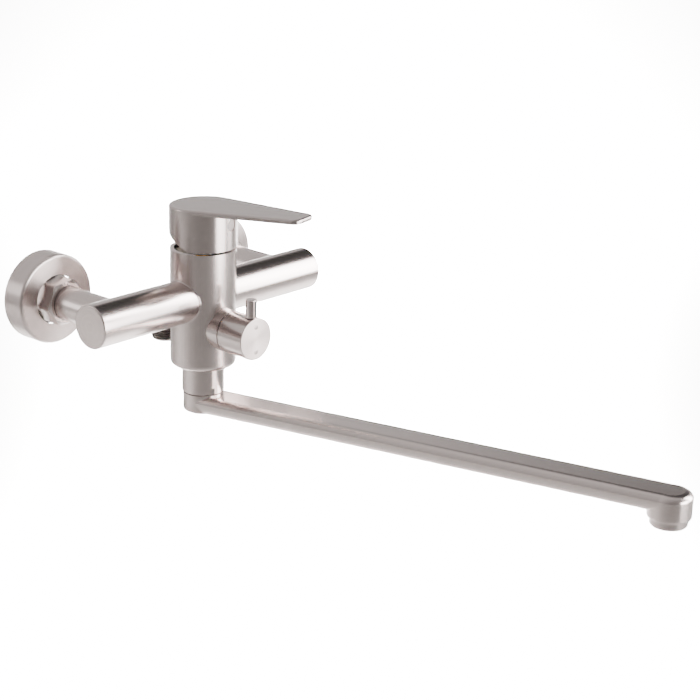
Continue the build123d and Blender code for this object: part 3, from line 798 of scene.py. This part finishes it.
class BATHMIXER_OT_diverter(bpy.types.Operator):
    """Finish the diverter's collar, knob and pin, and etch two round marks on the knob"""

    bl_idname = "bath_mixer.diverter"
    bl_label = "Diverter"

    def execute(self, context):
        colours = context.scene.bath_mixer_colours
        knob = middle("diverter_knob")
        # Turned from bar: fine circular lines, a pale frosted face.
        dress(
            steel(
                "stainless_knob_turned",
                centre=knob,
                axis=Y_AXIS,
                rough=0.19,
                pull=0.4,
                contrast=0.5,
                frost=0.3,
            ),
            "diverter_knob",
            "diverter_bonnet",
        )
        # Pin polished after turning, so it mirrors dark and bright bands.
        dress(
            steel(
                "stainless_pin_polished",
                centre=middle("knob_pin"),
                axis=Z_AXIS,
                rough=0.1,
                pull=0.3,
                contrast=0.4,
            ),
            "knob_pin",
        )
        # Light laser etching: a slightly darker, duller grey on the face.
        grey = [0.72 * c for c in colours.steel]
        etched = satin_metal("laser_etched_mark", grey, rough=0.45, grit=0.5 * MM)
        reach = half_size("diverter_knob").z * 0.6
        for name, offset in (("knob_mark_shower", reach), ("knob_mark_spout", -reach)):
            bm = bmesh.new()
            knob_mark(bm, offset)
            finished(name, bm, etched, "diverter")
        return {"FINISHED"}


class BATHMIXER_OT_spout(bpy.types.Operator):
    """Finish the neck nut, the spout and the aerator"""

    bl_idname = "bath_mixer.spout"
    bl_label = "Spout and Aerator"

    def execute(self, context):
        # Drawn flat tube linished along its length, with long faint lines. Its colour is raised to 1.06 of the
        # steel, painted light that makes its top pale.
        tube = steel(
            "stainless_spout_long_grain", along=SPOUT_ALONG, rough=0.24, contrast=0.7, tone=1.06
        )
        dress(tube, "spout")
        # Nut ground upright like the barrel above it, but finer.
        dress(
            steel("stainless_neck_upright_grain", along=Z_AXIS, rough=0.2, contrast=0.7), "neck_nut"
        )
        # Housing turned in a lathe: even circles with a soft sheen.
        dress(
            steel("stainless_aerator_turned", centre=SPOUT_TIP, axis=Z_AXIS, rough=0.24, pull=0.3),
            "aerator_ring",
        )
        return {"FINISHED"}


class BATHMIXER_OT_studio(bpy.types.Operator):
    """Build the pale floor, the soft lights and the camera"""

    bl_idname = "bath_mixer.studio"
    bl_label = "Studio"

    def execute(self, context):
        studio = context.scene.bath_mixer_studio
        self.floor(studio)
        self.dome(context)
        view = self.camera(context, studio)
        low = CAD_BOX[0][2] - studio.floor_drop
        aim = Vector((BARREL.x, BARREL.y, BAR_Z))
        ahead = Vector((-math.sin(studio.azimuth), math.cos(studio.azimuth), 0))
        foot = Vector((view.location.x, view.location.y, low))
        along = studio.azimuth + math.radians(90)
        # Softboxes that the metal mirrors: name, place, width and height, radiance and beam.
        for name, place, size, radiance, spread in (
            ("right_softbox", aim + Vector((1.10, -0.80, 0.36)), (0.62, 1.25), 26.0, 110),
            ("front_softbox", aim + Vector((0.43, -1.33, 0.04)), (0.9, 0.8), 19.0, 110),
            ("left_softbox", aim + Vector((-1.05, 1.0, 0.32)), (0.45, 0.5), 2.6, 120),
        ):
            self.softbox(name, place, aim, size, radiance, spread)
        # Washes that whiten the floor: name, spot below, height, size, radiance, beam and turn.
        for name, spot, height, size, radiance, spread, turn in (
            ("near_wash", foot + ahead * 2.45, 1.5, (1.9, 0.7), 2600.0, 34, along),
            ("far_wash", foot + ahead * 4.0, 1.8, (2.0, 1.9), 420.0, 64, along),
            ("left_wash", Vector((-1.1, 0.9, low)), 1.3, (0.9, 0.9), 22.0, 100, 0),
        ):
            place = spot + Z_AXIS * height
            self.softbox(name, place, spot, size, radiance, spread, turn, mirrored=False)
        return {"FINISHED"}

    def floor(self, studio):
        """Wide pale floor of matt painted board that curves up far behind the mixer."""
        colour = linear("C8C7C6")
        material = new_material("matt_white_board")
        tree = material.node_tree
        place = add(tree, "TexCoord").outputs["Object"]
        mottle = add(tree, "TexNoise", {"Vector": place, "Scale": 3.0}).outputs["Fac"]
        shade = add(tree, "MapRange", {"Value": mottle, "To Min": 0.97, "To Max": 1.0}).outputs["Result"]
        tint = add(tree, "VectorMath", {0: colour, "Scale": shade}, operation="SCALE").outputs["Vector"]
        close(material, add(tree, "BsdfPrincipled", {"Base Color": tint, "Roughness": 0.9}))
        level = CAD_BOX[0][2] - studio.floor_drop
        run, radius, reach, arc = 2.6, 1.2, 6.0, math.radians(58)
        bm = bmesh.new()
        near, far = (bm.verts.new((x, -reach / 2, level)) for x in (-reach / 2, run))
        bm.edges.new((near, far))
        bmesh.ops.spin(
            bm,
            geom=[far],
            cent=(run, 0, level + radius),
            axis=-Y_AXIS,
            angle=arc,
            steps=24,
        )
        sheet = bmesh.ops.extrude_edge_only(bm, edges=bm.edges[:])["geom"]
        side = [v for v in sheet if isinstance(v, bmesh.types.BMVert)]
        bmesh.ops.translate(bm, verts=side, vec=(0, reach, 0))
        bmesh.ops.rotate(
            bm, verts=bm.verts, matrix=Matrix.Rotation(studio.azimuth + math.radians(90), 3, "Z")
        )
        bmesh.ops.recalc_face_normals(bm, faces=bm.faces)
        mesh = bpy.data.meshes.new("floor")
        bm.to_mesh(mesh)
        bm.free()
        mesh.shade_smooth()
        mesh.materials.append(material)
        floor = bpy.data.objects.new("floor", mesh)
        bpy.context.scene.collection.objects.link(floor)

    def dome(self, context):
        """Studio walls and ceiling: pale behind, dimmer in front, with a dark flag high on the right."""
        world = bpy.data.worlds.new("studio_dome")
        context.scene.world = world
        world.use_nodes = True
        tree = world.node_tree
        tree.nodes.clear()
        back_wall, dark_flag = (0.2, 0.97, 0.15), (0.75, 0.16, 0.64)
        way = add(tree, "TexCoord").outputs["Generated"]
        behind = add(
            tree, "VectorMath", {0: way, 1: back_wall}, operation="DOT_PRODUCT"
        ).outputs["Value"]
        wall = add(
            tree,
            "MapRange",
            {"Value": behind, "From Min": -0.7, "From Max": 0.5, "To Min": 0.3, "To Max": 0.9},
        ).outputs["Result"]
        flagged = add(
            tree, "VectorMath", {0: way, 1: dark_flag}, operation="DOT_PRODUCT"
        ).outputs["Value"]
        flag = add(
            tree,
            "MapRange",
            {"Value": flagged, "From Min": 0.84, "From Max": 0.95, "To Min": 1.0, "To Max": 0.06},
            interpolation_type="SMOOTHSTEP",
        ).outputs["Result"]
        level = add(tree, "Math", {0: wall, 1: flag}, operation="MULTIPLY").outputs["Value"]
        background = add(tree, "Background", {"Color": (1, 0.99, 0.985, 1), "Strength": level})
        output = tree.nodes.new("ShaderNodeOutputWorld")
        tree.links.new(background.outputs[0], output.inputs["Surface"])

    def softbox(self, name, place, target, size, radiance, spread, turn=0, mirrored=True):
        """Rectangular area light at a place, facing a target, of a given radiance along its beam."""
        half = math.radians(spread) / 2
        light = bpy.data.lights.new(name, "AREA")
        light.shape = "RECTANGLE"
        light.size, light.size_y = size
        light.spread = 2 * half
        # A narrow beam gathers the same power, so the power is lowered to keep the radiance.
        light.energy = radiance * math.pi * size[0] * size[1] * (1 - half / math.tan(half))
        lamp = bpy.data.objects.new(name, light)
        lamp.location = place
        facing = (place - target).to_track_quat("Z", "Y").to_matrix()
        lamp.rotation_euler = (facing @ Matrix.Rotation(turn, 3, "Z")).to_euler()
        lamp.visible_glossy = mirrored
        bpy.context.scene.collection.objects.link(lamp)

    def camera(self, context, studio):
        """Camera with a long lens, from the front left and a little above."""
        back = Vector(
            (
                math.sin(studio.azimuth) * math.cos(studio.elevation),
                -math.cos(studio.azimuth) * math.cos(studio.elevation),
                math.sin(studio.elevation),
            )
        )
        right = Z_AXIS.cross(back).normalized()
        up = back.cross(right)
        turn = Matrix.Rotation(studio.roll, 3, back)
        axes = Matrix((turn @ right, turn @ up, back)).transposed()
        data = bpy.data.cameras.new("camera")
        data.lens = studio.lens
        data.sensor_width = 36
        view = bpy.data.objects.new("camera", data)
        view.location = LOOK_AT + back * studio.distance
        view.rotation_euler = axes.to_euler()
        context.scene.collection.objects.link(view)
        context.scene.camera = view
        return view


class BATHMIXER_PT_panel(bpy.types.Panel):
    """Lists the steps that finish the bath mixer"""

    bl_idname = "BATHMIXER_PT_panel"
    bl_label = "Bath Mixer"
    bl_space_type = "VIEW_3D"
    bl_region_type = "UI"
    bl_category = "Bath Mixer"

    def draw(self, context):
        for step in STEPS:
            self.layout.operator(step.bl_idname)
        for name in PROPERTIES:
            group = getattr(context.scene, name)
            for key in group.__annotations__:
                self.layout.prop(group, key)


STEPS = (
    BATHMIXER_OT_body,
    BATHMIXER_OT_arms,
    BATHMIXER_OT_wall_fittings,
    BATHMIXER_OT_hose_outlet,
    BATHMIXER_OT_lever,
    BATHMIXER_OT_cartridge,
    BATHMIXER_OT_diverter,
    BATHMIXER_OT_spout,
    BATHMIXER_OT_studio,
)
PROPERTIES = {
    "bath_mixer_sizes": BathMixerSizes,
    "bath_mixer_colours": BathMixerColours,
    "bath_mixer_studio": BathMixerStudio,
}


def register():
    """Registers the classes and the scene's properties."""
    for cls in (*PROPERTIES.values(), *STEPS, BATHMIXER_PT_panel):
        bpy.utils.register_class(cls)
    for name, group in PROPERTIES.items():
        setattr(bpy.types.Scene, name, PointerProperty(type=group))


def unregister():
    """Removes what register added."""
    for name in PROPERTIES:
        delattr(bpy.types.Scene, name)
    for cls in reversed((*PROPERTIES.values(), *STEPS, BATHMIXER_PT_panel)):
        bpy.utils.unregister_class(cls)


def main():
    """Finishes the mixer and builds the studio."""
    register()
    for step in STEPS:
        group, name = step.bl_idname.split(".")
        getattr(getattr(bpy.ops, group), name)()


if __name__ == "__main__":
    main()
